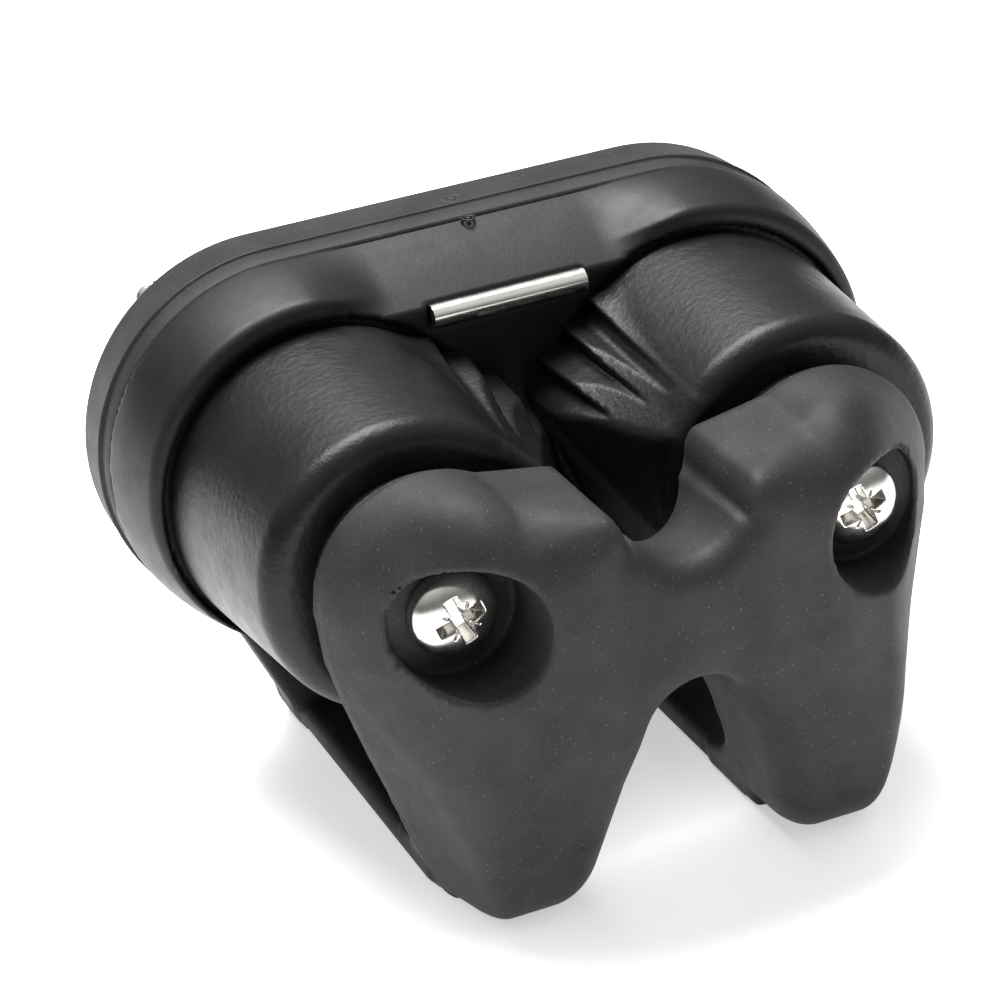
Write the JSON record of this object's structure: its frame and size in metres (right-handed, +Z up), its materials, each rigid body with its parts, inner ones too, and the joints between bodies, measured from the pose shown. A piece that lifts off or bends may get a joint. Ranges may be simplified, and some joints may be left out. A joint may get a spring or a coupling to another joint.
{
  "type": "cam cleat with horn",
  "caption": "Spring-loaded cam cleat for rope, clamped by long screws inside a bracket whose front is a notched two-legged horn.",
  "frame": {"origin": "on the mounting face, midway between the two screw axes", "axes": "+Y out of the mounting face into the spar or panel, so the horn faces -Y; +Z up, toward the side the loaded rope comes from; +X across the two cams, to the right seen from the front"},
  "size_m": [0.0748, 0.0953, 0.0509],
  "materials": {
    "horn_nylon": "matte, fine grain with pale specks",
    "base_nylon": "satin moulded",
    "cam_nylon": "satin, lightly pebbled",
    "cap_nylon": "matte",
    "washer_acetal": "smooth",
    "bush_steel": "turned",
    "pin_steel": "ground bright",
    "spring_steel": "drawn wire",
    "screw_steel": "bright stainless"
  },
  "bodies": {
    "bracket_and_base": {"horn_bracket": "horn_nylon", "cleat_base": "base_nylon", "wear_pin": "pin_steel", "pivot_bush_left": "bush_steel", "pivot_bush_right": "bush_steel", "thrust_washer_left": "washer_acetal", "thrust_washer_right": "washer_acetal", "cam_cap_left": "cap_nylon", "cam_cap_right": "cap_nylon", "torsion_spring_left": "spring_steel", "torsion_spring_right": "spring_steel", "screw_left": "screw_steel", "screw_right": "screw_steel"},
    "left_cam": {"cam_left": "cam_nylon"},
    "right_cam": {"cam_right": "cam_nylon"}
  },
  "joints": [
    {"name": "left_cam_pivot", "type": "hinge", "parent": "bracket_and_base", "child": "left_cam", "pos_m": [-0.019, -0.03, 0], "axis": [0, 1, 0], "range_deg": [0, 50], "stiffness_Nm_per_rad": 0.06, "springref_deg": -34.38},
    {"name": "right_cam_pivot", "type": "hinge", "parent": "bracket_and_base", "child": "right_cam", "pos_m": [0.019, -0.03, 0], "axis": [0, -1, 0], "range_deg": [0, 50], "stiffness_Nm_per_rad": 0.06, "springref_deg": -34.38}
  ]
}
